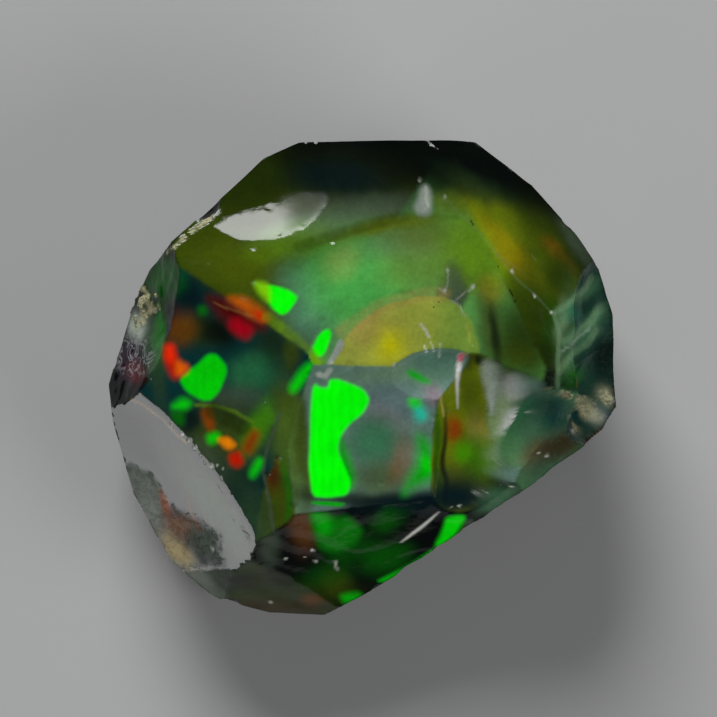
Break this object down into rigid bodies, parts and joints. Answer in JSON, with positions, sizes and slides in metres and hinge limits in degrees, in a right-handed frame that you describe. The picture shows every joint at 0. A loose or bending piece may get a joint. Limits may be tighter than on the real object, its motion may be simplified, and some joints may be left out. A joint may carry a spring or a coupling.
{
  "type": "rough opal",
  "caption": "Rough dark opal with shell-shaped break faces, a milky upper face and bright green fire, lying on its flat back.",
  "frame": {"origin": "middle of the flat back that the stone lies on", "axes": "+Z out of the finished face, +X to the right and +Y up as that face is seen"},
  "size_m": [0.0182, 0.017, 0.0099],
  "materials": {
    "opal": "glassy break faces, dark green body with green, orange and red fire, dull sandy crust on the edges"
  },
  "bodies": {
    "root": {"rough_opal": "opal"}
  },
  "joints": []
}
